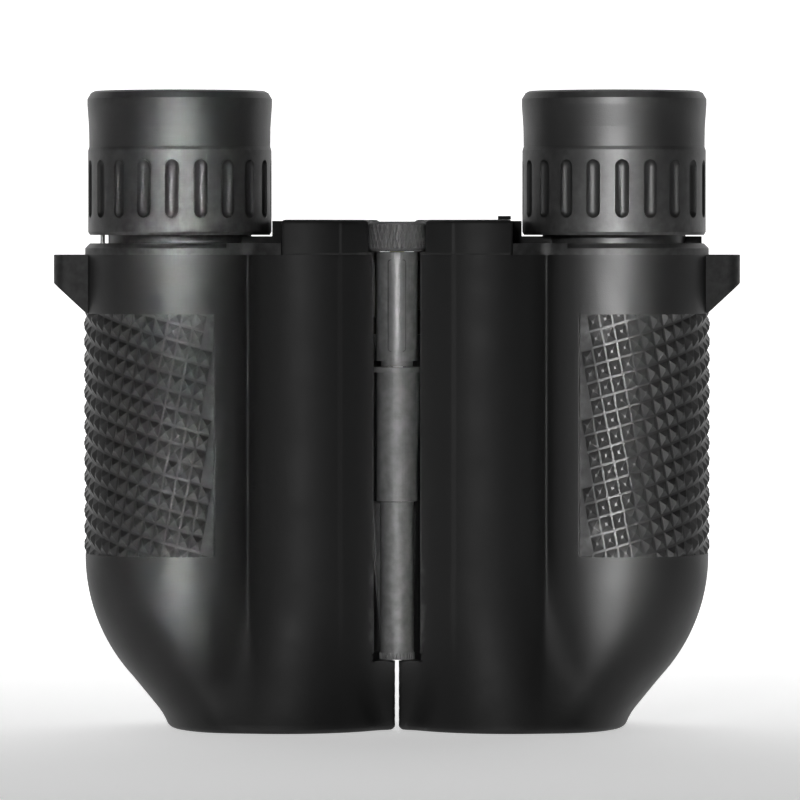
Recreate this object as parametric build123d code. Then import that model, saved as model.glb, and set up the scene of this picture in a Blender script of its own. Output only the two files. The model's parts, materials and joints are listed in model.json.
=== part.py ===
from build123d import *
from math import cos, pi, radians, sin, tan
import os

# Compact reverse-Porro binoculars, standing on their objective rims with the eyepieces up.
# Millimetres. X runs across the pair, the hinge side faces -Y, Z runs along the optical axes.
# The origin is on the resting plane, midway between the barrels. Every half is drawn at +X
# and mirrored for the left side.

# Driving dimensions
EYE_X = 35.5            # eyepiece axis from the middle: 71 mm between the pupils, fully open
OBJ_X = 18.3            # objective axis from the middle
TUBE_R = 15.5           # outer tube that carries the eyepiece
COLUMN_X = 14.6         # inner column beside the hinge
COLUMN_R = 14.3
BARREL_R = 18.1         # objective end of the housing
SHOULDER_Z = 79.05      # top of the outer tube
COLUMN_Z = 82.9         # top of the inner column
STEP_X = 18.7           # upright wall between the column top and the shoulder
COLLAR_Z = 77.2         # seam under the eyepiece collar
ELBOW_Z = 28.0          # where the outer tube starts to bend inward
ELBOW_R = 13.4          # bend radius on the centre line of the outer tube
ELBOW_ANGLE = 43.0
EDGE = 0.8              # broken edges of the mouldings
VALLEY_END_X = 26.0     # the column side of the valley runs down to the foot inside this line
VALLEY_R = 3.0          # rounding of the valley between column and outer tube

# Hinge and fold
HINGE_Y = -9.0
FOLD_HALF = 20.0        # each half turns this far towards the middle
PIN_R = 1.5
RUNNING = 0.05          # radial clearance of turning and sliding fits
RELIEF_R = 4.15         # room that each half leaves round the other half's knuckles
HALF_GAP = 0.2
KNUCKLE_R = 3.35
LOWER_KNUCKLE = (12.7, 37.15, 2.7)
MIDDLE_KNUCKLE = (37.25, 58.15, 3.3)
WASHER = (58.15, 59.0, 4.0)
SPACER = (59.1, 60.0, 2.6)
UPPER_KNUCKLE = (60.0, 77.7, KNUCKLE_R)
END_NUT = (11.6, 12.7, 2.85)

# Focus drive on the hinge axis
WHEEL = (77.75, 82.6, 4.75)
SCREW_R = 1.2
CARRIAGE_Z = 65.2
CARRIAGE_R = 2.55
EYE_T = 1.1             # thickness of each arm's eye on the carriage
ARM_BOTTOM = 79.0
ARM_TOP = 82.7
LEG = (3.6, 6.0, -5.2, -2.4)    # upright leg of a focus arm: x0, x1, y0, y1
ARM_END_X = 20.3        # end of the arm's bar, just clear of the eyecup

# Eyepiece
CUP_BOTTOM = 80.4
CUP_TOP = 103.9
CUP_R = 15.0
CUP_SLOTS = 20
NECK_R = 11.7
EYE_TUBE_Z = (64.5, 98.5)
OCULAR_R = 10.0
CELL_R = 10.85          # sliding lens cell of the right eyepiece

# Objective
CELL_OUT_R = 13.0
CELL_TOP = 14.2
LENS_R = 12.2

# Rubber grip panel, let into the outer tube
PANEL_Z = (28.4, 67.6)
PANEL_IN_R = 15.0
PANEL_OUT_R = 15.7
PANEL_START = 23.0      # degrees from the front, towards the hinge

# Prism block: two right-angle prisms on a plate, each moving the axis sideways
PLATE_Z = (49.0, 50.0)
SHIFT = (EYE_X - OBJ_X) / 2     # sideways step of each prism along X and along Y
PRISM_W = SHIFT * 2 ** 0.5      # width of a prism, and half its long face
SCREW_SPOTS = ((COLUMN_X - 5.5, -5.0), (EYE_X + 2.0, -9.5), (EYE_X + 9.6, 4.0))


def post(x, y, radius, z0, z1):
    return Pos(x, y, z0) * Cylinder(radius, z1 - z0, align=(Align.CENTER, Align.CENTER, Align.MIN))


def tube(x, y, outer, inner, z0, z1):
    return post(x, y, outer, z0, z1) - post(x, y, inner, z0 - 1, z1 + 1)


def block(x0, x1, y0, y1, z0, z1):
    centre = Pos((x0 + x1) / 2, (y0 + y1) / 2, (z0 + z1) / 2)
    return centre * Box(x1 - x0, y1 - y0, z1 - z0)


def prism_of(points, z0, z1):
    """Upright solid over a plan outline."""
    return Pos(0, 0, z0) * extrude(Polygon(*points, align=None), z1 - z0, dir=(0, 0, 1))


def turned(points, x, y):
    """Solid of revolution about an upright axis, from (radius, height) points."""
    face = Plane.XZ * make_face(Polyline(*points, close=True))
    return Pos(x, y, 0) * revolve(face, Axis.Z, 360)


def plan_of_half():
    """Plan of the housing where both tubes run straight, with a rounded valley between them."""
    span = EYE_X - COLUMN_X
    near = COLUMN_R + VALLEY_R
    far = TUBE_R + VALLEY_R
    along = (near ** 2 - far ** 2 + span ** 2) / (2 * span)
    depth = (near ** 2 - along ** 2) ** 0.5
    valley = (COLUMN_X + along, depth)
    on_column = (COLUMN_X + along * COLUMN_R / near, depth * COLUMN_R / near)
    on_tube = (EYE_X - (span - along) * TUBE_R / far, depth * TUBE_R / far)
    bridge = Polygon((COLUMN_X, 0), on_column, valley, on_tube, (EYE_X, 0), align=None)
    bridge -= Pos(*valley) * Circle(VALLEY_R)
    circles = Pos(COLUMN_X, 0) * Circle(COLUMN_R) + Pos(EYE_X, 0) * Circle(TUBE_R)
    return circles + bridge + mirror(bridge, about=Plane.XZ)


def fold_wedge():
    """Everything that has to stay clear of the middle so that the halves can close."""
    reach = 60.0
    slope = tan(radians(FOLD_HALF))
    near = [(HALF_GAP, -reach), (HALF_GAP, HINGE_Y), (HALF_GAP + reach * slope, HINGE_Y + reach)]
    outline = [(-reach, -reach)] + near + [(-reach, HINGE_Y + reach)]
    return prism_of(outline, -1, 120)


def hinge_web():
    """Low wall that closes the valley between barrel and hinge line."""
    outline = [(0, HINGE_Y), (7.8, -12.5), (16, -8), (16, 4), (0, 4)]
    return prism_of(outline, 0, COLUMN_Z)


def elbow():
    """The outer tube bends inward and widens into the objective barrel."""
    bend_x = EYE_X - ELBOW_R
    outer_side = Pos(bend_x + TUBE_R, 0) * Rectangle(2 * TUBE_R, 4 * TUBE_R)
    ring = Pos(0, 0, ELBOW_Z) * ((Pos(EYE_X, 0) * Circle(TUBE_R)) & outer_side)
    bend = revolve(ring, Axis((bend_x, 0, ELBOW_Z), (0, 1, 0)), ELBOW_ANGLE)
    angle = radians(ELBOW_ANGLE)
    end = Location((bend_x + ELBOW_R * cos(angle), 0, ELBOW_Z - ELBOW_R * sin(angle)), (0, ELBOW_ANGLE, 0))
    foot = Pos(OBJ_X, 0, EDGE) * Circle(BARREL_R)
    return bend + loft([end * Circle(TUBE_R), foot])


def foot_ring():
    outline = [(0, 0), (BARREL_R - EDGE, 0), (BARREL_R, EDGE), (0, EDGE)]
    return turned(outline, OBJ_X, 0)


def half_outside():
    """Outer tube and column side by side; below the bend only the column side runs down."""
    straight = extrude(plan_of_half(), COLLAR_Z, dir=(0, 0, 1))
    straight -= block(VALLEY_END_X, 60, -30, 30, -1, ELBOW_Z)
    top = post(COLUMN_X, 0, COLUMN_R, COLLAR_Z, COLUMN_Z)
    top = chamfer(top.edges().group_by(Axis.Z)[-1], EDGE) - block(STEP_X, 60, -30, 30, 0, 100)
    body = straight + elbow() + foot_ring() + top + hinge_web()
    return body - fold_wedge()


def hinge_relief():
    relief = post(0, HINGE_Y, RELIEF_R, END_NUT[0] - 0.3, 100)
    return relief + post(0, HINGE_Y, WHEEL[2] + 0.25, WHEEL[0] - 0.15, 100)


def arm_ways():
    """Leg slot and top channel in which the focus arm rises and falls, open at the top."""
    x0, x1, y0, y1 = LEG
    slot = block(0, x1 + 0.6, y0 - 0.5, y1 + 0.5, CARRIAGE_Z - 1.0, 100)
    slot += block(0, x1 + 0.6, y0 - 2.6, y1 + 0.5, CARRIAGE_Z - 1.0, CARRIAGE_Z + 11)
    channel = block(x0, 25.5, y0 - 0.5, y1 + 0.5, ARM_BOTTOM - 1.0, 100)
    landing = block(STEP_X - 0.1, 25.5, -6.2, 3.0, ARM_BOTTOM - 1.0, 100)
    return slot + channel + landing


def inner_space():
    """Sealed space for the prisms, open to both bores."""
    low = 32.0
    room = post(COLUMN_X, 0, 9.6, low, 63.6) + post(EYE_X, 0, 13.2, low, 66.0)
    room += block(COLUMN_X, EYE_X, -8.4, 8.4, low, 63.6)
    return room


def bores():
    bore = post(OBJ_X, 0, CELL_OUT_R, -1, CELL_TOP)
    light_path = post(OBJ_X, 0, 10.5, CELL_TOP - 1, 40)
    eyepiece = post(EYE_X, 0, NECK_R + RUNNING, 60, 100)
    return bore + light_path + eyepiece


def panel_recess():
    z0, z1 = PANEL_Z
    return panel_band(PANEL_IN_R, TUBE_R + 2, z0, z1)


def panel_band(inner, outer, z0, z1):
    """Band round the outer tube from the front, over the outside, to the back."""
    band = tube(EYE_X, 0, outer, inner, z0, z1)
    start = radians(PANEL_START)
    far = 60.0
    side = (far * sin(start), far * cos(start))
    opening = [(EYE_X, 0), (EYE_X - side[0], -side[1]), (EYE_X - far, 0), (EYE_X - side[0], side[1])]
    return band - prism_of(opening, z0 - 1, z1 + 1)


def guide_hole(side):
    if side < 0:
        return post(EYE_X + 12.65, 0, 0.48, 66.5, 100)
    return block(EYE_X + 11, EYE_X + 14.45, -1.35, 1.35, 70.8, 100)


def knuckle(z0, z1, radius, web_top, pin_fit):
    """A hinge barrel with the web behind it that ties it to its own half."""
    barrel = post(0, HINGE_Y, radius, z0, z1)
    web = prism_of([(0.8, -8.0), (2.5, -8.6), (6.4, -4.4), (2.0, -5.0)], z0, web_top)
    return barrel + web - post(0, HINGE_Y, PIN_R + pin_fit, z0 - 1, z1 + 1)


def upper_knuckle():
    """Front shell of the hinge, open at the back where the focus arms travel."""
    z0, z1, radius = UPPER_KNUCKLE
    floor = CARRIAGE_Z - 1.0
    shell = knuckle(z0, z1, radius, floor, 0)
    shell -= post(0, HINGE_Y, CARRIAGE_R + 0.2, floor, z1 + 1)
    shell -= block(-5, 5, HINGE_Y + 0.7, 2, floor, z1 + 1)
    return shell


def housing(side):
    body = half_outside() - hinge_relief()
    if side < 0:
        body += knuckle(*LOWER_KNUCKLE, LOWER_KNUCKLE[1], 0)
        body += upper_knuckle()
    else:
        body += knuckle(*MIDDLE_KNUCKLE, MIDDLE_KNUCKLE[1], RUNNING)
    return body - arm_ways() - inner_space() - bores() - panel_recess() - guide_hole(side)


def end_collar(side):
    z0, z1 = COLLAR_Z, SHOULDER_Z
    outline = [(NECK_R + RUNNING, z0), (TUBE_R, z0), (TUBE_R, z1 - EDGE), (TUBE_R - EDGE, z1)]
    collar = turned(outline + [(NECK_R + RUNNING, z1)], EYE_X, 0)
    shelf = Pos(0, 0, z0) * extrude(plan_of_half(), z1 - z0, dir=(0, 0, 1))
    shelf = (shelf & block(STEP_X, EYE_X - 8, -30, 30, z0, z1)) - post(EYE_X, 0, NECK_R + RUNNING, 60, 100)
    return collar + shelf - block(0, STEP_X, -30, 30, 0, 100) - arm_ways() - guide_hole(side)


def grip_panel():
    return panel_band(PANEL_IN_R, PANEL_OUT_R, *PANEL_Z)


def strap_lug():
    """Wedge-shaped eye for a neck strap, with its slot from top to bottom."""
    half = 4.5
    profile = [(49.4, 77.2), (56.0, 77.2), (56.0, 72.6), (50.7, 67.7), (49.4, 67.7)]
    face = Plane.XZ.offset(-half) * make_face(Polyline(*profile, close=True))
    lug = extrude(face, 2 * half)
    lug = fillet(lug.edges().filter_by(Axis.Z).group_by(Axis.X)[-1], 2.0)
    slot = Pos(53.0, 0, 70) * Box(2.4, 5.6, 30)
    slot = fillet(slot.edges().filter_by(Axis.Z), 0.9)
    return lug - slot - post(EYE_X, 0, TUBE_R, 60, 90)


def prism_plan(sign):
    """Plan axes of a prism that moves the beam by SHIFT in X and sign * SHIFT in Y."""
    return Rot(0, 0, 45 * sign)


def right_angle_prism(grow):
    """Triangle of the glass on its long face, apex up, running along X."""
    half = PRISM_W + grow
    face = Plane.XZ.offset(-PRISM_W / 2) * make_face(Polyline((-half, 0), (half, 0), (0, half), close=True))
    return extrude(face, PRISM_W)


def room_for_glass():
    room = post(COLUMN_X, 0, 9.3, 30, 70) + post(EYE_X, 0, 12.9, 30, 70)
    return room + block(COLUMN_X, EYE_X, -8.1, 8.1, 30, 70)


def upper_prism(grow=0.0):
    centre = Pos(OBJ_X + SHIFT / 2, SHIFT / 2, PLATE_Z[1])
    return (centre * prism_plan(1) * right_angle_prism(grow)) & room_for_glass()


def lower_prism(grow=0.0):
    centre = Pos(OBJ_X + 1.5 * SHIFT, SHIFT / 2, PLATE_Z[0])
    return (centre * prism_plan(-1) * Rot(180, 0, 0) * right_angle_prism(grow)) & room_for_glass()


def prism_clips():
    """A spring strap over the back of each prism, screwed down at the plate."""
    width = 3.0
    upper = Pos(OBJ_X + SHIFT / 2, SHIFT / 2, 0) * prism_plan(1) * Box(60, width, 160)
    lower = Pos(OBJ_X + 1.5 * SHIFT, SHIFT / 2, 0) * prism_plan(-1) * Box(60, width, 160)
    over = (upper_prism(0.5) - upper_prism()) & upper
    under = (lower_prism(0.5) - lower_prism()) & lower
    return over + under


def prism_plate():
    plate = inner_space() & block(0, 60, -30, 30, *PLATE_Z)
    middle = (OBJ_X + SHIFT, SHIFT)
    for x, y, radius in ((OBJ_X, 0, 5.6), (middle[0], middle[1], 4.4), (EYE_X, 0, 5.0)):
        plate -= post(x, y, radius, 40, 60)
    for x, y in SCREW_SPOTS:
        plate -= post(x, y, 0.7, 40, 60)
    return plate


def plate_screws():
    screws = []
    for x, y in SCREW_SPOTS:
        shank = post(x, y, 0.7, PLATE_Z[0], PLATE_Z[1])
        head = post(x, y, 1.2, PLATE_Z[1], PLATE_Z[1] + 0.8)
        slot = block(x - 2, x + 2, y - 0.15, y + 0.15, PLATE_Z[1] + 0.45, PLATE_Z[1] + 2)
        screws.append(shank + head - slot)
    return Compound(children=screws)


def objective_cell():
    """Threaded barrel that holds the doublet, with the front recess."""
    outline = [(CELL_OUT_R, 1.2), (CELL_OUT_R, CELL_TOP), (11.0, CELL_TOP), (11.0, 13.2), (LENS_R, 13.2)]
    outline += [(LENS_R, 3.4), (LENS_R + 0.3, 1.2)]
    return turned(outline, OBJ_X, 0)


def ball(radius, bow, rim_z, side):
    """Sphere whose surface passes the rim at rim_z and bows by bow towards side (+1 up, -1 down)."""
    size = (radius ** 2 + bow ** 2) / (2 * bow)
    return Pos(0, 0, rim_z + side * (bow - size)) * Sphere(size)


def lens(radius, centre_z, edge_half, bow_low, bow_high, x):
    """Round lens whose faces bow out by bow_low downward and bow_high upward; negative bows are hollow."""
    low = centre_z - edge_half
    high = centre_z + edge_half
    glass = post(0, 0, radius, low - max(bow_low, 0), high + max(bow_high, 0))
    for bow, rim_z, side in ((bow_low, low, -1), (bow_high, high, 1)):
        if bow > 0:
            glass &= ball(radius, bow, rim_z, side)
        else:
            glass -= ball(radius, -bow, rim_z, -side)
    return Pos(x, 0, 0) * glass


def crown_lens():
    return lens(LENS_R, 8.6, 0.9, 1.3, 1.6, OBJ_X)


def flint_lens():
    return lens(LENS_R, 11.3, 1.8, -1.6, 0.4, OBJ_X)


def objective_ring():
    outline = [(LENS_R, 5.7), (LENS_R, 7.7), (LENS_R - 1.2, 7.3), (LENS_R - 0.5, 5.7)]
    return turned(outline, OBJ_X, 0)


def hinge_pin():
    pin = post(0, HINGE_Y, PIN_R, END_NUT[1] - 0.7, CARRIAGE_Z - 2.2)
    return pin + post(0, HINGE_Y, 0.9, CARRIAGE_Z - 2.2, CARRIAGE_Z - 1.2)


def end_nut():
    z0, z1, radius = END_NUT
    nut = post(0, HINGE_Y, radius, z0, z1) - post(0, HINGE_Y, PIN_R, z1 - 0.7, z1 + 1)
    teeth = 36
    for i in range(teeth):
        angle = 2 * pi * i / teeth
        nut -= post(radius * cos(angle), HINGE_Y + radius * sin(angle), 0.13, z0 - 1, z1 + 1)
    return nut


def label_plate():
    shell = tube(0, HINGE_Y, KNUCKLE_R + 0.15, KNUCKLE_R, 61.4, 76.6)
    return shell & block(-1.6, 1.6, -20, HINGE_Y, 60, 80)


def focus_wheel():
    z0, z1, radius = WHEEL
    wheel = chamfer(Cylinder(radius, z1 - z0).edges().filter_by(GeomType.CIRCLE), 0.35)
    wheel = Pos(0, HINGE_Y, (z0 + z1) / 2) * wheel
    dish = post(0, HINGE_Y, radius - 1.1, z1 - 0.4, z1 + 1)
    return wheel - dish - post(0, HINGE_Y, SCREW_R, z0 - 1, z1 - 1.2)


def focus_screw():
    return post(0, HINGE_Y, SCREW_R, CARRIAGE_Z - 0.9, WHEEL[1] - 1.2)


def focus_carriage():
    """Spool on the focus screw; both arm eyes sit between its flanges."""
    z = CARRIAGE_Z
    outline = [(SCREW_R + RUNNING, z), (CARRIAGE_R, z), (CARRIAGE_R, z + 0.7), (1.75, z + 0.7)]
    outline += [(1.75, z + 3.1), (CARRIAGE_R, z + 3.1), (CARRIAGE_R, z + 3.8), (SCREW_R + RUNNING, z + 3.8)]
    return turned(outline, 0, HINGE_Y)


def focus_arm(side):
    """Eye on the carriage, leg behind the wheel, bar across the column, plate on the eyepiece tube."""
    x0, x1, y0, y1 = LEG
    eye_z = CARRIAGE_Z + (0.75 if side < 0 else 1.95)
    eye = post(0, HINGE_Y, CARRIAGE_R, eye_z, eye_z + EYE_T)
    tongue = prism_of([(0.6, -8.4), (1.7, -9.0), (x1, y0 + 1.4), (x1, y1), (x0, y1)], eye_z, eye_z + EYE_T)
    leg = block(x0, x1, y0, y1, eye_z, ARM_TOP)
    bar = block(x0, ARM_END_X, y0, y1, ARM_BOTTOM, ARM_TOP)
    plate = block(19.3, 26.5, -5.6, 2.4, ARM_BOTTOM, CUP_BOTTOM - 0.2)
    arm = eye + tongue + leg + bar + plate
    return arm - post(0, HINGE_Y, 1.75 + RUNNING, 60, 76) - post(EYE_X, 0, NECK_R, 60, 100)


def eyepiece_tube(side):
    z0, z1 = EYE_TUBE_Z
    if side < 0:
        return tube(EYE_X, 0, NECK_R, OCULAR_R, z0, z1)
    return tube(EYE_X, 0, NECK_R, CELL_R + RUNNING, z0, 94.0)


def cup_outline(bore):
    """Outline of the rubber eyecup: grip base, waist, lip band and bowl."""
    points = [(bore, CUP_BOTTOM), (CUP_R - 0.3, CUP_BOTTOM), (CUP_R, CUP_BOTTOM + 0.5)]
    points += [(CUP_R, 94.2), (CUP_R - 0.2, 94.8), (CUP_R - 0.15, 98.0), (CUP_R + 0.1, 101.6)]
    points += [(CUP_R + 0.1, CUP_TOP - 1.3), (CUP_R - 0.5, CUP_TOP - 0.3), (CUP_R - 1.1, CUP_TOP)]
    points += [(13.2, CUP_TOP), (13.0, CUP_TOP - 0.2), (12.3, 98.8)]
    return points


def cup_slot(angle):
    """Round-ended flute pressed into the grip base."""
    across = 2.45
    tall = 9.6
    flute = Cylinder(across / 2, tall - across) + Pos(0, 0, (tall - across) / 2) * Sphere(across / 2)
    flute += Pos(0, 0, -(tall - across) / 2) * Sphere(across / 2)
    sink = CUP_R + across / 2 - 0.8
    return Rot(0, 0, angle) * Pos(sink, 0, 87.9) * flute


def eyecup(side):
    if side < 0:
        points = cup_outline(NECK_R) + [(NECK_R, 98.5)]
    else:
        points = cup_outline(12.6) + [(11.2, 98.0), (11.2, 94.3), (12.6, 94.3)]
    cup = turned(points, 0, 0)
    for i in range(CUP_SLOTS):
        cup -= cup_slot(360 * i / CUP_SLOTS + 3)
    cup = Pos(EYE_X, 0, 0) * cup
    if side < 0:
        cup -= post(EYE_X + 12.65, 0, 0.4, 70, 82.4)
    return cup


def dioptre_ring():
    return tube(EYE_X, 0, 12.6, NECK_R + RUNNING, 81.0, 87.0)


def guide(side):
    if side < 0:
        return post(EYE_X + 12.65, 0, 0.4, 69.0, 82.4)
    key = block(EYE_X + 10, EYE_X + 14.3, -1.2, 1.2, 72.0, CUP_BOTTOM - 0.2)
    return key - post(EYE_X, 0, NECK_R, 60, 100)


def lens_cell():
    z0, z1 = EYE_TUBE_Z
    return tube(EYE_X, 0, CELL_R, OCULAR_R - 0.4, z0 + 1.5, z1)


def ocular_radius(side):
    return OCULAR_R if side < 0 else OCULAR_R - 0.4


def eye_lens(side):
    return lens(ocular_radius(side), 95.1, 0.9, 1.0, 0.9, EYE_X)


def field_lens(side):
    return lens(ocular_radius(side), 74.0, 1.2, 0.9, 1.4, EYE_X)


def field_stop(side):
    radius = ocular_radius(side)
    outline = [(radius, 67.0), (radius, 68.0), (6.6, 68.0), (6.4, 67.8), (6.4, 67.0)]
    return turned(outline, EYE_X, 0)


def lens_spacer(side):
    radius = ocular_radius(side)
    return tube(EYE_X, 0, radius, radius - 0.8, 75.45, 94.0)


def eye_lens_ring(side):
    radius = ocular_radius(side)
    inner = radius - 1.4
    outline = [(radius, 96.0), (radius, 98.5), (radius - 0.4, 98.5), (inner, 97.4), (inner, 96.35)]
    return turned(outline, EYE_X, 0)


def both_sides():
    """Pieces that each half has, drawn at +X; the flag is -1 for left and +1 for right."""
    pieces = {}
    for side, name in ((-1, "left"), (1, "right")):
        made = {
            "housing": housing(side), "end_collar": end_collar(side), "grip_panel": grip_panel(),
            "strap_lug": strap_lug(), "prism_plate": prism_plate(), "plate_screws": plate_screws(),
            "upper_prism": upper_prism(), "lower_prism": lower_prism(), "prism_clips": prism_clips(),
            "objective_cell": objective_cell(), "objective_ring": objective_ring(),
            "crown_lens": crown_lens(), "flint_lens": flint_lens(), "focus_arm": focus_arm(side),
            "eyepiece_tube": eyepiece_tube(side), "eyecup": eyecup(side), "eye_lens": eye_lens(side),
            "field_lens": field_lens(side), "field_stop": field_stop(side),
            "lens_spacer": lens_spacer(side), "eye_lens_ring": eye_lens_ring(side),
        }
        for kind, shape in made.items():
            pieces[f"{name}_{kind}"] = mirror(shape, about=Plane.YZ) if side < 0 else shape
    return pieces


def single_pieces():
    nub = block(STEP_X - 2.3, STEP_X - 0.2, -8.0, -7.0, COLUMN_Z, COLUMN_Z + 0.6)
    return {
        "left_guide_pin": mirror(guide(-1), about=Plane.YZ),
        "right_guide_key": guide(1),
        "right_lens_cell": lens_cell(),
        "right_dioptre_ring": dioptre_ring(),
        "dioptre_index": nub,
        "hinge_pin": hinge_pin(),
        "hinge_end_nut": end_nut(),
        "hinge_washer": tube(0, HINGE_Y, WASHER[2], PIN_R + RUNNING, *WASHER[:2]),
        "hinge_spacer": tube(0, HINGE_Y, SPACER[2], PIN_R, *SPACER[:2]),
        "label_plate": label_plate(),
        "focus_wheel": focus_wheel(),
        "focus_screw": focus_screw(),
        "focus_carriage": focus_carriage(),
    }


os.makedirs("parts", exist_ok=True)
for node, shape in {**both_sides(), **single_pieces()}.items():
    export_step(shape, f"parts/{node}.step")
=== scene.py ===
import json
import math

import bmesh
import bpy
import numpy as np
from mathutils import Matrix, Vector


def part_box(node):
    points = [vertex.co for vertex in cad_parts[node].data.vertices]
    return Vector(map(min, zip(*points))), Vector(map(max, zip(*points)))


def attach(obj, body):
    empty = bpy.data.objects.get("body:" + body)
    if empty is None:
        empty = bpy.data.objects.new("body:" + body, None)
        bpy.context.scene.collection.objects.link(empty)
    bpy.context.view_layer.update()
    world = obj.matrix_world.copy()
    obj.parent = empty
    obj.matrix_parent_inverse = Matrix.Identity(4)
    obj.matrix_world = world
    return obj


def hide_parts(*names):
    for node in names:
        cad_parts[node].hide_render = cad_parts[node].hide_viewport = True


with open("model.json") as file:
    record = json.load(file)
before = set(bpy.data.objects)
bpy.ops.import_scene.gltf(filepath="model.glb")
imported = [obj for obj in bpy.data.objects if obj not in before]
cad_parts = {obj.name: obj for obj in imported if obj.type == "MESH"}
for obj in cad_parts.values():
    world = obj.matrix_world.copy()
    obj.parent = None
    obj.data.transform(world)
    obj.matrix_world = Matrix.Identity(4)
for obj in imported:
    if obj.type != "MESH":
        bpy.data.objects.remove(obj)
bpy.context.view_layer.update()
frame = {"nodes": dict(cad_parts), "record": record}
MM = 0.001

# Places read from the frame, in millimetres
EYE_LOW, EYE_HIGH = [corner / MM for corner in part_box("right_eyecup")]
COLLAR_LOW, COLLAR_HIGH = [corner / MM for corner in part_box("right_end_collar")]
PANEL_LOW, PANEL_HIGH = [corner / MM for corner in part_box("right_grip_panel")]
BODY_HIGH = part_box("right_housing")[1] / MM
CELL_LOW, CELL_HIGH = [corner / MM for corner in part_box("right_objective_cell")]
WHEEL_LOW, WHEEL_HIGH = [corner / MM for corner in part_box("focus_wheel")]
NUT_LOW, NUT_HIGH = [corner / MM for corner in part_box("hinge_end_nut")]
TUBE_LOW, TUBE_HIGH = [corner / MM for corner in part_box("right_eyepiece_tube")]

EYE_X = (EYE_LOW.x + EYE_HIGH.x) / 2
TUBE_R = COLLAR_HIGH.x - EYE_X
OBJ_X = (CELL_LOW.x + CELL_HIGH.x) / 2
BARREL_R = BODY_HIGH.y
HINGE_Y = (WHEEL_LOW.y + WHEEL_HIGH.y) / 2
COLLAR_Z = COLLAR_LOW.z
COLUMN_Z = BODY_HIGH.z
WHEEL_R = (WHEEL_HIGH.x - WHEEL_LOW.x) / 2
NECK_R = (TUBE_HIGH.x - TUBE_LOW.x) / 2

# Shape of the housing between those places, in millimetres
COLUMN_X = 14.6
COLUMN_R = 14.3
STEP_X = 18.7
ELBOW_Z = 28.0
ELBOW_R = 28.9          # radius of the outer line of the bend
ELBOW_ANGLE = math.radians(43)
FOLD_ANGLE = math.radians(20)   # each half's share of the full fold
RELIEF_R = 4.15         # room round the hinge line for the other half's knuckles
HALF_GAP = 0.2          # each half stays this far from the middle plane
VALLEY_BLEND = 0.5
VALLEY_FADE_Z = 22.0    # below this the valley between the tubes fills up
VALLEY_FILL = 3.0
BARREL_DRAFT = 0.3      # loss of radius per mm above the foot
BARREL_BLEND = 4.0
WEB_RUN = 7.8
WEB_DROP = 3.5
WEB_END_X = 8.7
WEB_BACK_Y = 4.0
WEB_BLEND = 0.8
EDGE_ROUND = 0.5
RELIEF_ROUND = 0.15
PANEL_INNER_R = 15.0
PANEL_TURN = math.radians(23)   # how far the panel reaches past the tube's front and back
OUTLINE_POINTS = 420
SHARP_STEP = 0.02       # height in which an outline jumps to the next


# Small mesh helpers

def new_object(name, verts, faces):
    mesh = bpy.data.meshes.new(name)
    mesh.from_pydata([tuple(v) for v in verts], [], faces)
    mesh.update()
    piece = bpy.data.objects.new(name, mesh)
    bpy.context.scene.collection.objects.link(piece)
    return piece


def ring_faces(rings, count):
    """Quads between closed rings of count points each, with a fan of one face at both ends."""
    faces = []
    for i in range(rings - 1):
        for j in range(count):
            k = (j + 1) % count
            faces.append((i * count + j, i * count + k, (i + 1) * count + k, (i + 1) * count + j))
    faces.append(tuple(reversed(range(count))))
    faces.append(tuple(range((rings - 1) * count, rings * count)))
    return faces


def cylinder(x, y, radius, z0, z1, count=96):
    turn = np.arange(count) * 2 * math.pi / count
    rings = [[(x + radius * math.cos(t), y + radius * math.sin(t), z) for t in turn] for z in (z0, z1)]
    verts = np.array(rings[0] + rings[1]) * MM
    return new_object("cutter", verts, ring_faces(2, count))


def box(x0, x1, y0, y1, z0, z1):
    corners = [(x0, y0), (x1, y0), (x1, y1), (x0, y1)]
    verts = np.array([(x, y, z) for z in (z0, z1) for x, y in corners]) * MM
    return new_object("cutter", verts, ring_faces(2, 4))


def boolean(target, tool, operation):
    """Applies an exact boolean of target with tool, and removes the tool."""
    modifier = target.modifiers.new("cut", "BOOLEAN")
    modifier.operation = operation
    modifier.solver = "EXACT"
    modifier.object = tool
    apply_modifiers(target)
    bpy.data.objects.remove(tool)


def apply_modifiers(piece):
    bpy.context.view_layer.update()
    depsgraph = bpy.context.evaluated_depsgraph_get()
    made = bpy.data.meshes.new_from_object(piece.evaluated_get(depsgraph))
    piece.modifiers.clear()
    piece.data = made


def smooth(piece, degrees=32):
    """Smooth faces with sharp edges where they turn by more than the angle."""
    mesh = piece.data
    mesh.shade_smooth()
    mesh.set_sharp_from_angle(angle=math.radians(degrees))


def mirrored(piece, name):
    twin = piece.copy()
    twin.data = piece.data.copy()
    twin.name = name
    twin.data.transform(Matrix.Diagonal((-1, 1, 1, 1)))
    twin.data.flip_normals()
    bpy.context.scene.collection.objects.link(twin)
    return twin


# The housing: soft-edged outline at every height, then the bores and ways cut into it

def smooth_min(a, b, blend):
    h = np.clip(0.5 + 0.5 * (b - a) / blend, 0, 1)
    return b + (a - b) * h - blend * h * (1 - h)


def smooth_max(a, b, blend):
    return -smooth_min(-a, -b, blend)


def outer_line(z):
    """X of the housing's outer side: straight tube, round bend, then a straight run to the foot."""
    bend_x = EYE_X + TUBE_R - ELBOW_R
    low_z = ELBOW_Z - ELBOW_R * math.sin(ELBOW_ANGLE)
    low_x = bend_x + ELBOW_R * math.cos(ELBOW_ANGLE)
    if z >= ELBOW_Z:
        return EYE_X + TUBE_R
    if z >= low_z:
        return bend_x + math.sqrt(ELBOW_R ** 2 - (ELBOW_Z - z) ** 2)
    foot_x = OBJ_X + BARREL_R
    return foot_x + (low_x - foot_x) * z / low_z


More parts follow.
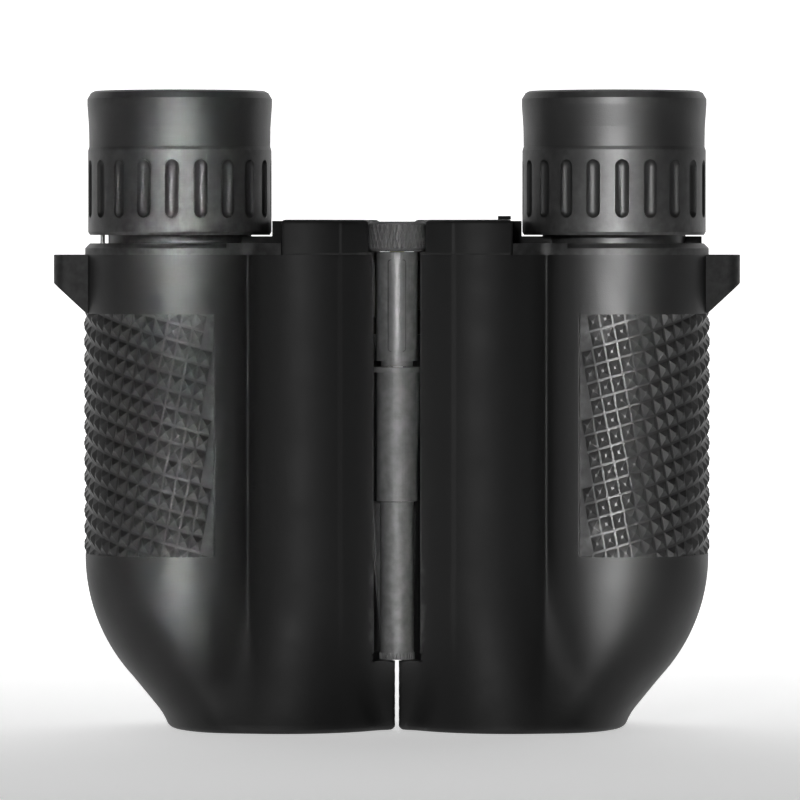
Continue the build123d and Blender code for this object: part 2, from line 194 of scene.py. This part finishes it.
def tube_section(z):
    """Centre and half width of the outer tube: its inner side stays upright as the outer one bends."""
    outer_x = outer_line(z)
    inner_x = EYE_X - TUBE_R
    return (outer_x + inner_x) / 2, (outer_x - inner_x) / 2


def housing_distance(x, y, z, relief):
    """Signed distance, near enough, from the housing's outside at height z."""
    column = np.hypot(x - COLUMN_X, y) - COLUMN_R
    centre, half_width = tube_section(z)
    tube = (np.hypot((x - centre) / half_width, y / TUBE_R) - 1) * half_width
    low = max(0.0, 1 - z / VALLEY_FADE_Z)
    both = smooth_min(column, tube, VALLEY_BLEND + VALLEY_FILL * low ** 2)
    barrel = np.hypot(x - OBJ_X, y) - BARREL_R + BARREL_DRAFT * z
    both = smooth_min(both, barrel, BARREL_BLEND)
    body = smooth_min(both, web_distance(x, y), WEB_BLEND)
    return hinge_side(body, x, y, relief)


def web_distance(x, y):
    """Wall from the hinge line to the column, which it meets flush in front."""
    slant = (-(y - HINGE_Y) * WEB_RUN - x * WEB_DROP) / math.hypot(WEB_RUN, WEB_DROP)
    return np.maximum(slant, np.maximum(x - WEB_END_X, y - WEB_BACK_Y))


def top_distance(x, y, z, relief):
    """The same for the column above the shoulder, which ends in an upright wall."""
    column = np.hypot(x - COLUMN_X, y) - COLUMN_R
    body = smooth_max(smooth_min(column, web_distance(x, y), WEB_BLEND), x - STEP_X, EDGE_ROUND)
    return hinge_side(body, x, y, relief)


def hinge_side(body, x, y, relief):
    """Cuts the outline back from the middle, the fold plane and the other half's knuckles."""
    fold = (y - HINGE_Y) * math.sin(FOLD_ANGLE) - (x - HALF_GAP) * math.cos(FOLD_ANGLE)
    middle = np.where(y > HINGE_Y, np.maximum(fold, HALF_GAP - x), HALF_GAP - x)
    body = smooth_max(body, middle, EDGE_ROUND)
    return smooth_max(body, relief - np.hypot(x, y - HINGE_Y), RELIEF_ROUND)


def outline_ring(distance, z, inset, relief, start_x, count):
    """Points of the outline at height z, found along rays from an inside point."""
    outside = 60.0
    halvings = 26
    turn = np.arange(count) * 2 * math.pi / count
    low = np.zeros(count)
    high = np.full(count, outside)
    for _ in range(halvings):
        middle = (low + high) / 2
        inside = distance(start_x + middle * np.cos(turn), middle * np.sin(turn), z, relief) + inset < 0
        low = np.where(inside, middle, low)
        high = np.where(inside, high, middle)
    return [(start_x + r * math.cos(t), r * math.sin(t), z) for r, t in zip(low, turn)]


def rounded_levels(z0, z1, steps, round_low, round_high):
    """Heights with the inset of a rounded edge at either end: (z, inset)."""
    arc_steps = 4
    levels = []
    for i in range(arc_steps + 1):
        turn = math.pi / 2 * i / arc_steps
        levels.append((z0 + round_low * (1 - math.cos(turn)), round_low * (1 - math.sin(turn))))
    inner = np.linspace(z0 + round_low, z1 - round_high, steps)[1:-1]
    levels += [(z, 0.0) for z in inner]
    for i in range(arc_steps + 1):
        turn = math.pi / 2 * i / arc_steps
        levels.append((z1 - round_high * (1 - math.sin(turn)), round_high * (1 - math.cos(turn))))
    return levels


def outline_solid(distance, levels, relief_at, start_at, count):
    verts = []
    for z, inset in levels:
        verts += outline_ring(distance, z, inset, relief_at(z), start_at(z), count)
    return new_object("housing", np.array(verts) * MM, ring_faces(len(levels), count))


def lower_body():
    """The housing from the foot to the eyepiece collar."""
    relief_low = NUT_LOW.z - 0.3
    foot_round = 0.8
    sharp = 0.01

    def relief(z):
        return RELIEF_R if z > relief_low else 0.0

    def inside_x(z):
        return outer_line(z) / 2 + 0.1

    levels = rounded_levels(0.0, COLLAR_Z, 100, foot_round, sharp)
    levels += [(relief_low, 0.0), (relief_low + SHARP_STEP, 0.0)]
    return outline_solid(housing_distance, sorted(levels), relief, inside_x, OUTLINE_POINTS)


def column_top():
    """The column above the collar, with a root inside the body and a pocket round the wheel."""
    pocket_z = WHEEL_LOW.z - 0.15
    pocket_r = WHEEL_R + 0.25
    rim_round = 0.7
    sharp = 0.01
    root_depth = 1.0
    root_inset = 0.05
    inside_x = 12.0

    def relief(z):
        return pocket_r if z > pocket_z else RELIEF_R

    rounded = rounded_levels(COLLAR_Z, COLUMN_Z, 6, sharp, rim_round)
    levels = [level for level in rounded if level[0] > COLLAR_Z + SHARP_STEP]
    levels += [(COLLAR_Z - root_depth, root_inset), (COLLAR_Z - SHARP_STEP, root_inset), (COLLAR_Z, 0.0)]
    levels += [(pocket_z, 0.0), (pocket_z + SHARP_STEP, 0.0)]
    return outline_solid(top_distance, sorted(levels), relief, lambda z: inside_x, OUTLINE_POINTS)


def housing_shell():
    """Right-hand housing without its knuckles: the body, with the column's top joined on."""
    body = lower_body()
    top = column_top()
    boolean(body, panel_recess(), "DIFFERENCE")
    boolean(body, top, "UNION")
    for tool in inner_cutters():
        boolean(body, tool, "DIFFERENCE")
    return body


def inner_cutters():
    """Objective seat, prism room, eyepiece bore, and the ways of the focus carriage and arm."""
    cell_r = (CELL_HIGH.x - CELL_LOW.x) / 2
    below = -1
    above = 100
    beam_r = 10.5
    room_low = 32.0
    room_top = 63.6
    tube_room_top = 66.0
    column_room_r = 9.6
    tube_room_r = 13.2
    room_half_depth = 8.4
    bore_low = 60
    way_front = -5.7
    way_back = -1.9
    carriage_x = 6.6
    carriage_low = 64.2
    carriage_wide_front = -7.8
    carriage_wide_top = 76.2
    arm_x0 = 3.6
    arm_x1 = 25.5
    arm_low = 78.0
    yield cylinder(OBJ_X, 0, cell_r, below, CELL_HIGH.z)
    yield cylinder(OBJ_X, 0, beam_r, CELL_HIGH.z - 1, room_low + 8)
    yield cylinder(COLUMN_X, 0, column_room_r, room_low, room_top)
    yield cylinder(EYE_X, 0, tube_room_r, room_low, tube_room_top)
    yield box(COLUMN_X, EYE_X, -room_half_depth, room_half_depth, room_low, room_top)
    yield cylinder(EYE_X, 0, NECK_R + 0.05, bore_low, above)
    yield box(-1, carriage_x, way_front, way_back, carriage_low, above)
    yield box(-1, carriage_x, carriage_wide_front, way_back, carriage_low, carriage_wide_top)
    yield box(arm_x0, arm_x1, way_front, way_back, arm_low, above)


def panel_recess():
    """Band round the outer tube, open towards the hinge, as deep as the panel."""
    end = math.pi / 2 + PANEL_TURN
    start = -end
    past = 2
    steps = 90
    turns = [start + (end - start) * i / steps for i in range(steps + 1)]
    outer = [(EYE_X + (TUBE_R + past) * math.cos(t), (TUBE_R + past) * math.sin(t)) for t in turns]
    inner = [(EYE_X + PANEL_INNER_R * math.cos(t), PANEL_INNER_R * math.sin(t)) for t in reversed(turns)]
    loop = outer + inner
    verts = np.array([(x, y, z) for z in (PANEL_LOW.z, PANEL_HIGH.z) for x, y in loop]) * MM
    return new_object("cutter", verts, ring_faces(2, len(loop)))


def knuckles_of(node):
    """The knuckles of a CAD housing: what it has within reach of the hinge line."""
    piece = frame["nodes"][node].copy()
    piece.data = frame["nodes"][node].data.copy()
    piece.parent = None
    for key in [k for k in piece.keys() if k.startswith("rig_")]:
        del piece[key]
    bpy.context.scene.collection.objects.link(piece)
    weld(piece)
    reach = RELIEF_R + 0.5
    boolean(piece, cylinder(0, HINGE_Y, reach, NUT_HIGH.z - 0.1, COLUMN_Z + 1), "INTERSECT")
    return piece


def weld(piece):
    mesh = bmesh.new()
    mesh.from_mesh(piece.data)
    bmesh.ops.remove_doubles(mesh, verts=mesh.verts, dist=1e-6)
    mesh.to_mesh(piece.data)
    mesh.free()


def mark_knuckles(shell):
    """Gives the faces of the hinge barrels the second material of the shell."""
    reach = RELIEF_R - 0.4
    for face in shell.data.polygons:
        x, y, z = face.center / MM
        near = math.hypot(x, y - HINGE_Y) < reach
        face.material_index = int(near and NUT_LOW.z < z < WHEEL_LOW.z)


def make_housings():
    right = housing_shell()
    left = mirrored(right, "left_body_shell")
    right.name = "right_body_shell"
    made = {}
    for side, shell in (("left", left), ("right", right)):
        boolean(shell, knuckles_of(f"{side}_housing"), "UNION")
        smooth(shell, 30)
        mark_knuckles(shell)
        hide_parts(f"{side}_housing")
        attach(shell, f"{side}_half")
        made[side] = shell
    return made


# Pyramid patterns wrapped round a cylinder

def pyramid_sheet(width, height, cell_u, cell_v, lean_u, lean_v, rise, valley, tip):
    """Flat sheet of pyramids with narrow flat valleys, in millimetres, trimmed to width by height."""
    step_u = Vector((cell_u, -cell_u * math.tan(lean_u)))
    step_v = Vector((-cell_v * math.tan(lean_v), cell_v))
    reach = int(max(width, height) / min(cell_u, cell_v)) + 4
    mesh = bmesh.new()
    seen = {}

    def corner(i, j):
        if (i, j) not in seen:
            place = step_u * i + step_v * j
            seen[i, j] = mesh.verts.new((place.x, place.y, 0))
        return seen[i, j]

    def ring_of(base, middle, share, level):
        spots = [middle + (Vector((vert.co.x, vert.co.y)) - middle) * share for vert in base]
        return [mesh.verts.new((spot.x, spot.y, level)) for spot in spots]

    margin = 2 * max(cell_u, cell_v)
    edge_band = 0.62 * cell_u       # cells this near the upright edges stay flat
    for i in range(-reach, reach):
        for j in range(-reach, reach):
            middle = step_u * (i + 0.5) + step_v * (j + 0.5)
            if abs(middle.x) > width / 2 + margin or abs(middle.y) > height / 2 + margin:
                continue
            base = [corner(i, j), corner(i + 1, j), corner(i + 1, j + 1), corner(i, j + 1)]
            if abs(middle.x) > width / 2 - edge_band:
                mesh.faces.new(base)
                continue
            foot = ring_of(base, middle, 1 - valley, 0)
            top = ring_of(base, middle, tip, rise)
            mesh.faces.new(top)
            for low, high in ((base, foot), (foot, top)):
                for k in range(4):
                    n = (k + 1) % 4
                    mesh.faces.new((low[k], low[n], high[n], high[k]))
    for co, normal in (((width / 2, 0, 0), (1, 0, 0)), ((-width / 2, 0, 0), (-1, 0, 0)),
                       ((0, height / 2, 0), (0, 1, 0)), ((0, -height / 2, 0), (0, -1, 0))):
        geometry = mesh.verts[:] + mesh.edges[:] + mesh.faces[:]
        bmesh.ops.bisect_plane(mesh, geom=geometry, plane_co=co, plane_no=normal, clear_outer=True, dist=1e-5)
    return mesh


def wrap_sheet(mesh, name, axis_x, axis_y, radius, middle_z, face_turn, depth):
    """Gives the sheet edge walls down to the depth, then rolls it round an upright axis."""
    mesh.verts.ensure_lookup_table()
    rim = [e for e in mesh.edges if e.is_boundary]
    walls = bmesh.ops.extrude_edge_only(mesh, edges=rim)
    for vert in [g for g in walls["geom"] if isinstance(g, bmesh.types.BMVert)]:
        vert.co.z = -depth
    for vert in mesh.verts:
        turn = face_turn + vert.co.x / radius
        reach = radius + vert.co.z
        x = axis_x + reach * math.cos(turn)
        y = axis_y + reach * math.sin(turn)
        vert.co = Vector((x, y, middle_z + vert.co.y)) * MM
    bmesh.ops.recalc_face_normals(mesh, faces=mesh.faces)
    data = bpy.data.meshes.new(name)
    mesh.to_mesh(data)
    mesh.free()
    piece = bpy.data.objects.new(name, data)
    bpy.context.scene.collection.objects.link(piece)
    return piece


def make_grips():
    """Rubber panels of small pyramids, whose rows climb towards the hinge."""
    rise = 0.55
    cell_width = 1.98
    cell_height = 2.62
    row_lean = math.radians(-16)
    column_lean = math.radians(11)
    valley_share = 0.14
    tip_share = 0.17
    base_r = (PANEL_HIGH.y - PANEL_LOW.y) / 2 - rise
    width = base_r * (math.pi + 2 * PANEL_TURN)
    height = PANEL_HIGH.z - PANEL_LOW.z
    sheet = pyramid_sheet(width, height, cell_width, cell_height, row_lean, column_lean,
                          rise, valley_share, tip_share)
    middle_z = (PANEL_HIGH.z + PANEL_LOW.z) / 2
    right = wrap_sheet(sheet, "right_grip_skin", EYE_X, 0, base_r, middle_z, 0.0, base_r - PANEL_INNER_R)
    left = mirrored(right, "left_grip_skin")
    for side, piece in (("left", left), ("right", right)):
        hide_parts(f"{side}_grip_panel")
        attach(piece, f"{side}_half")
    return [left, right]


def wheel_ring(radius, z, columns):
    turns = [2 * math.pi * j / columns for j in range(columns)]
    return [(radius * math.cos(t), HINGE_Y + radius * math.sin(t), z) for t in turns]


def knurl_rings(base_r, rise, band, middle, rows, ridges, columns):
    """Rings of a diamond knurl: ridges of both hands, fading out at the band's edges."""
    pitch = 2.6
    sharpness = 2.2
    fade_height = 0.15
    verts = []
    for i in range(rows):
        z = band * i / (rows - 1) - band / 2
        climb = z / pitch * 2 * math.pi
        fade = min(1.0, (band / 2 - abs(z)) / fade_height)
        for j in range(columns):
            turn = 2 * math.pi * j / columns
            along = turn * ridges
            right_hand = max(0.0, 1 - sharpness * abs(math.sin((along + climb) / 2)))
            left_hand = max(0.0, 1 - sharpness * abs(math.sin((along - climb) / 2)))
            reach = base_r + rise * max(right_hand, left_hand) * fade
            verts.append((reach * math.cos(turn), HINGE_Y + reach * math.sin(turn), z + middle))
    return verts


def make_wheel():
    """Focus wheel with a diamond knurl, chamfered ends and a dished top."""
    rise = 0.16
    chamfer_r = 0.35
    chamfer_z = 0.3
    shoulder = 0.05
    plain_end = 0.4
    dish_depth = 0.4
    ridges = 34
    columns = ridges * 12
    rows = 49
    base_r = WHEEL_R - rise
    band = WHEEL_HIGH.z - WHEEL_LOW.z - 2 * plain_end
    middle = (WHEEL_HIGH.z + WHEEL_LOW.z) / 2
    low_rings = [(1.3, WHEEL_LOW.z), (base_r - chamfer_r, WHEEL_LOW.z),
                 (base_r - shoulder, WHEEL_LOW.z + chamfer_z)]
    high_rings = [(base_r - shoulder, WHEEL_HIGH.z - chamfer_z), (base_r - chamfer_r, WHEEL_HIGH.z),
                  (base_r - 0.9, WHEEL_HIGH.z), (base_r - 1.1, WHEEL_HIGH.z - dish_depth),
                  (0.6, WHEEL_HIGH.z - dish_depth)]
    verts = []
    for radius, z in low_rings:
        verts += wheel_ring(radius, z, columns)
    verts += knurl_rings(base_r, rise, band, middle, rows, ridges, columns)
    for radius, z in high_rings:
        verts += wheel_ring(radius, z, columns)
    faces = ring_faces(len(low_rings) + rows + len(high_rings), columns)
    wheel = new_object("knurled_focus_wheel", np.array(verts) * MM, faces)
    smooth(wheel, 35)
    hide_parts("focus_wheel")
    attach(wheel, "focus_knob")
    return wheel


def make_label_groove_shade():
    """Thin band of black plastic round the blank label, following the round of the knuckle: painted shade in
    place of the shaded groove round the label.
    """
    low, high = [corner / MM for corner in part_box("label_plate")]
    proud = 0.03
    sunk = 0.05
    line = 0.13
    round_r = 0.5
    side_margin = 0.12
    end_margin = 0.15
    radius = HINGE_Y - low.y + proud
    width = radius * math.asin((high.x - side_margin) / radius)
    bottom = low.z + end_margin
    top = high.z - end_margin
    outer = []
    inner = []
    for corner_x, corner_z, start in ((1, 1, 0), (-1, 1, 90), (-1, -1, 180), (1, -1, 270)):
        for i in range(7):
            turn = math.radians(start + 15 * i)
            middle_x = corner_x * (width - round_r)
            middle_z = (top - round_r) if corner_z > 0 else (bottom + round_r)
            outer.append((middle_x + round_r * math.cos(turn), middle_z + round_r * math.sin(turn)))
            small = round_r - line
            inner.append((middle_x + small * math.cos(turn), middle_z + small * math.sin(turn)))
    count = len(outer)
    verts = []
    for lift in (0.0, -sunk):
        for loop in (outer, inner):
            for x, z in loop:
                turn = x / radius
                reach = radius + lift
                verts.append((reach * math.sin(turn) * MM, (HINGE_Y - reach * math.cos(turn)) * MM, z * MM))
    faces = []
    for j in range(count):
        k = (j + 1) % count
        faces.append((j, k, count + k, count + j))
        faces.append((2 * count + j, 3 * count + j, 3 * count + k, 2 * count + k))
        faces.append((j, 2 * count + j, 2 * count + k, k))
        faces.append((count + j, count + k, 3 * count + k, 3 * count + j))
    groove_shade = new_object("label_groove_shade", verts, faces)
    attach(groove_shade, "left_half")
    return groove_shade


# Materials

GRAIN_DEPTH = 0.00003   # metres

def grey(level):
    return (level, level, level)


def shader(name, color, roughness, metallic=0.0, specular=0.5):
    material = bpy.data.materials.new(name)
    material.use_nodes = True
    surface = material.node_tree.nodes["Principled BSDF"]
    surface.inputs["Base Color"].default_value = (*color, 1)
    surface.inputs["Roughness"].default_value = roughness
    surface.inputs["Metallic"].default_value = metallic
    surface.inputs["Specular IOR Level"].default_value = specular
    return material, material.node_tree, surface


def noise(tree, scale, detail, stretch=(1, 1, 1)):
    """Noise in object space, in cycles per metre."""
    place = tree.nodes.new("ShaderNodeTexCoord")
    mapping = tree.nodes.new("ShaderNodeMapping")
    mapping.inputs["Scale"].default_value = stretch
    tree.links.new(place.outputs["Object"], mapping.inputs["Vector"])
    texture = tree.nodes.new("ShaderNodeTexNoise")
    texture.inputs["Scale"].default_value = scale
    texture.inputs["Detail"].default_value = detail
    tree.links.new(mapping.outputs["Vector"], texture.inputs["Vector"])
    return texture.outputs["Fac"]


def remap(tree, value, low, high):
    node = tree.nodes.new("ShaderNodeMapRange")
    node.inputs["From Min"].default_value = 0.3
    node.inputs["From Max"].default_value = 0.7
    node.inputs["To Min"].default_value = low
    node.inputs["To Max"].default_value = high
    tree.links.new(value, node.inputs["Value"])
    return node.outputs["Result"]


def tint(tree, value, dark, light):
    node = tree.nodes.new("ShaderNodeValToRGB")
    node.color_ramp.elements[0].position = 0.35
    node.color_ramp.elements[0].color = (*dark, 1)
    node.color_ramp.elements[1].position = 0.7
    node.color_ramp.elements[1].color = (*light, 1)
    tree.links.new(value, node.inputs["Fac"])
    return node.outputs["Color"]


def bump(tree, surface, value, distance, strength, under=None):
    node = tree.nodes.new("ShaderNodeBump")
    node.inputs["Distance"].default_value = distance
    node.inputs["Strength"].default_value = strength
    tree.links.new(value, node.inputs["Height"])
    if under is not None:
        tree.links.new(under, node.inputs["Normal"])
    tree.links.new(node.outputs["Normal"], surface.inputs["Normal"])
    return node.outputs["Normal"]


def edge_wear(tree, color, worn, width):
    """Lightens convex edges a little, broken up by noise."""
    geometry = tree.nodes.new("ShaderNodeNewGeometry")
    ramp = tree.nodes.new("ShaderNodeMapRange")
    ramp.inputs["From Min"].default_value = 0.5
    ramp.inputs["From Max"].default_value = 0.5 + width
    tree.links.new(geometry.outputs["Pointiness"], ramp.inputs["Value"])
    broken = tree.nodes.new("ShaderNodeMath")
    broken.operation = "MULTIPLY"
    tree.links.new(ramp.outputs["Result"], broken.inputs[0])
    tree.links.new(remap(tree, noise(tree, 700, 3), 0.1, 1.0), broken.inputs[1])
    mix = tree.nodes.new("ShaderNodeMix")
    mix.data_type = "RGBA"
    tree.links.new(broken.outputs["Value"], mix.inputs["Factor"])
    tree.links.new(color, mix.inputs["A"])
    mix.inputs["B"].default_value = (*worn, 1)
    return mix.outputs["Result"]


def moulded(name, dark, light, roughness, grain, worn, grain_depth=GRAIN_DEPTH, specular=0.5):
    """Moulded plastic or rubber: fine spark texture, soft blotches, slightly worn edges."""
    material, tree, surface = shader(name, light, roughness[1], specular=specular)
    color = tint(tree, noise(tree, 60, 4), dark, light)
    tree.links.new(edge_wear(tree, color, worn, 0.12), surface.inputs["Base Color"])
    tree.links.new(remap(tree, noise(tree, 150, 5), *roughness), surface.inputs["Roughness"])
    coarse = bump(tree, surface, noise(tree, grain * 0.22, 3), grain_depth * 1.6, 0.25)
    bump(tree, surface, noise(tree, grain, 2), grain_depth, 0.5, coarse)
    return material


def turned_metal(name, dark, light, roughness, metallic=1.0, specular=0.5):
    """Turned metal: fine rings round the upright axis, handling marks in the gloss."""
    material, tree, surface = shader(name, light, roughness[1], metallic, specular)
    color = tint(tree, noise(tree, 120, 4), dark, light)
    worn = tuple(min(1, c * 2.2) for c in light)
    tree.links.new(edge_wear(tree, color, worn, 0.1), surface.inputs["Base Color"])
    tree.links.new(remap(tree, noise(tree, 300, 4), *roughness), surface.inputs["Roughness"])
    rings = noise(tree, 90, 3, (1, 1, 60))
    bump(tree, surface, rings, 0.00001, 0.2)
    return material


def glass(name, color, coat_tint):
    """Coated optical glass with faint dust."""
    material, tree, surface = shader(name, color, 0.02)
    surface.inputs["Transmission Weight"].default_value = 1.0
    surface.inputs["IOR"].default_value = 1.52
    surface.inputs["Coat Weight"].default_value = 0.6
    surface.inputs["Coat Tint"].default_value = (*coat_tint, 1)
    surface.inputs["Coat Roughness"].default_value = 0.03
    tree.links.new(remap(tree, noise(tree, 900, 6), 0.01, 0.06), surface.inputs["Roughness"])
    shaded = tuple(c * 0.92 for c in color)
    tree.links.new(tint(tree, noise(tree, 40, 2), shaded, color), surface.inputs["Base Color"])
    return material


def make_materials():
    """One material for each slot of the record: its maker, then what the maker is given after the name."""
    hinge_level = 0.035
    recipes = {
        "soft_touch_black": (moulded, grey(0.0014), grey(0.0022), (0.49, 0.57), 5200, grey(0.03)),
        "grip_rubber": (moulded, grey(0.003), grey(0.005), (0.42, 0.5), 4200, grey(0.09)),
        "eyecup_rubber": (moulded, grey(0.004), grey(0.006), (0.46, 0.54), 5200, grey(0.05)),
        "black_plastic": (moulded, grey(0.004), grey(0.006), (0.5, 0.6), 4000, grey(0.02), GRAIN_DEPTH, 0.2),
        "black_anodised": (turned_metal, grey(0.008), grey(0.012), (0.38, 0.48), 0.1, 0.3),
        "hinge_black": (turned_metal, grey(hinge_level), grey(hinge_level * 1.08), (0.5, 0.6), 0.15),
        "label_film": (moulded, grey(0.03), grey(0.036), (0.3, 0.38), 3000, grey(0.06), 0.00001),
        "optical_glass": (glass, (0.93, 0.97, 0.95), (0.5, 0.75, 0.62)),
        "prism_glass": (glass, (0.95, 0.97, 0.96), (0.9, 0.95, 1.0)),
        "spring_steel": (turned_metal, grey(0.42), grey(0.55), (0.22, 0.36)),
        "steel_pin": (turned_metal, grey(0.4), grey(0.5), (0.2, 0.34)),
        "brass": (turned_metal, (0.5, 0.36, 0.14), (0.64, 0.47, 0.2), (0.24, 0.38)),
    }
    return {name: maker(name, *given) for name, (maker, *given) in recipes.items()}


def dress(materials, made):
    """Gives every carried-over node the material of its slot, and the new pieces theirs."""
    for part in frame["record"]["subparts"]:
        node = frame["nodes"][part["node"]]
        material = materials[part["material_slot"]]
        node.data.materials.clear()
        node.data.materials.append(material)
        smooth(node, 30)
    for piece, slot in made:
        marks = [face.material_index for face in piece.data.polygons]
        piece.data.materials.clear()
        piece.data.materials.append(materials[slot])
        if slot == "soft_touch_black":
            piece.data.materials.append(materials["hinge_black"])
            piece.data.polygons.foreach_set("material_index", marks)


# Stage, light and camera

def area_light(name, place, aim, width, height, power):
    data = bpy.data.lights.new(name, "AREA")
    data.shape = "RECTANGLE"
    data.size = width
    data.size_y = height
    data.energy = power
    lamp = bpy.data.objects.new(name, data)
    lamp.location = place
    lamp.rotation_euler = (Vector(aim) - Vector(place)).to_track_quat("-Z", "Y").to_euler()
    bpy.context.scene.collection.objects.link(lamp)
    return lamp


def make_stage():
    """A pale floor that curves up behind the object and glows more towards the back."""
    half = 2.6
    front = -2.4
    back = 1.3
    bend = 0.6
    flat_half = 0.4
    top = 3.0
    steps = 12
    below = 0.00002         # keeps the floor off the faces that stand on it
    glow_reach = 0.35
    profile = [(front, 0.0), (-flat_half, 0.0), (flat_half, 0.0), (back, 0.0)]
    for i in range(1, steps + 1):
        turn = math.pi / 2 * i / steps
        profile.append((back + bend * math.sin(turn), bend * (1 - math.cos(turn))))
    profile.append((back + bend, top))
    verts = [(x, y, z - below) for y, z in profile for x in (-half, half)]
    faces = [(2 * i, 2 * i + 1, 2 * i + 3, 2 * i + 2) for i in range(len(profile) - 1)]
    floor = new_object("pale_floor", verts, faces)
    floor.data.shade_smooth()
    material, tree, surface = shader("pale_paper", grey(0.86), 0.9, specular=0.1)
    tree.links.new(tint(tree, noise(tree, 3, 2), grey(0.85), grey(0.88)), surface.inputs["Base Color"])
    surface.inputs["Emission Color"].default_value = (1, 1, 1, 1)
    place = tree.nodes.new("ShaderNodeTexCoord")
    split = tree.nodes.new("ShaderNodeSeparateXYZ")
    glow = tree.nodes.new("ShaderNodeMapRange")
    glow.inputs["From Min"].default_value = -glow_reach
    glow.inputs["From Max"].default_value = glow_reach
    glow.inputs["To Min"].default_value = 0.0
    glow.inputs["To Max"].default_value = 1.0
    tree.links.new(place.outputs["Object"], split.inputs["Vector"])
    tree.links.new(split.outputs["Y"], glow.inputs["Value"])
    tree.links.new(glow.outputs["Result"], surface.inputs["Emission Strength"])
    floor.data.materials.append(material)


def make_light():
    """Dark room, white backdrop, tall soft lights just above the line of sight."""
    world = bpy.data.worlds.new("studio")
    world.use_nodes = True
    world.node_tree.nodes["Background"].inputs["Color"].default_value = (1, 1, 1, 1)
    world.node_tree.nodes["Background"].inputs["Strength"].default_value = 0.03
    bpy.context.scene.world = world
    strip_y = -0.8
    strip_z = 0.2
    middle = (0, 0, 0.06)
    area_light("front_strip", (-0.14, -0.85, strip_z), middle, 0.08, 0.2, 1.2)
    for side, power in ((-1, 0.4), (1, 0.1)):
        x = side * EYE_X * MM
        lamp = area_light("tube_strip", (x, strip_y, strip_z), (x, 0, 0.076), 0.01, 0.12, 0.012)
        lamp.data.spread = math.radians(1.6)
        area_light("side_box", (side * 1.0, -0.25, 0.3), middle, 0.25, 0.7, power)
        area_light("rim_box", (side * 0.9, 0.55, 0.35), middle, 0.3, 0.9, 0.5)
    hinge = (0, HINGE_Y * MM, 0.056)
    lamp = area_light("hinge_strip", (0.05, strip_y, strip_z), hinge, 0.006, 0.09, 0.0028)
    lamp.data.spread = math.radians(0.8)
    area_light("top_box", (0, 0.25, 1.2), (0, 0.1, 0), 0.9, 0.7, 0.8)


def make_camera():
    """Level view of the hinge side from about a metre, a little above the middle."""
    distance = 1.018
    height = 0.081
    aim_height = 0.0534
    aim_x = 0.0005
    view_width = 0.1309     # width of the picture at the middle of the object
    data = bpy.data.cameras.new("camera")
    camera = bpy.data.objects.new("camera", data)
    camera.location = (aim_x, -distance, height)
    aim = Vector((aim_x, 0, aim_height))
    camera.rotation_euler = (aim - camera.location).to_track_quat("-Z", "Y").to_euler()
    sensor = 36.0
    data.sensor_width = sensor
    data.lens = sensor * distance / view_width
    data.clip_start = 0.05
    data.clip_end = 50
    bpy.context.scene.collection.objects.link(camera)
    bpy.context.scene.camera = camera


make_stage()
make_light()
make_camera()
shells = make_housings()
grips = make_grips()
wheel = make_wheel()
made = [(piece, "soft_touch_black") for piece in shells.values()]
made += [(piece, "grip_rubber") for piece in grips]
# The black band round the label is painted shade, standing in for the shaded groove round it.
made += [(wheel, "hinge_black"), (make_label_groove_shade(), "black_plastic")]
dress(make_materials(), made)
bpy.context.scene.view_settings.view_transform = "Standard"
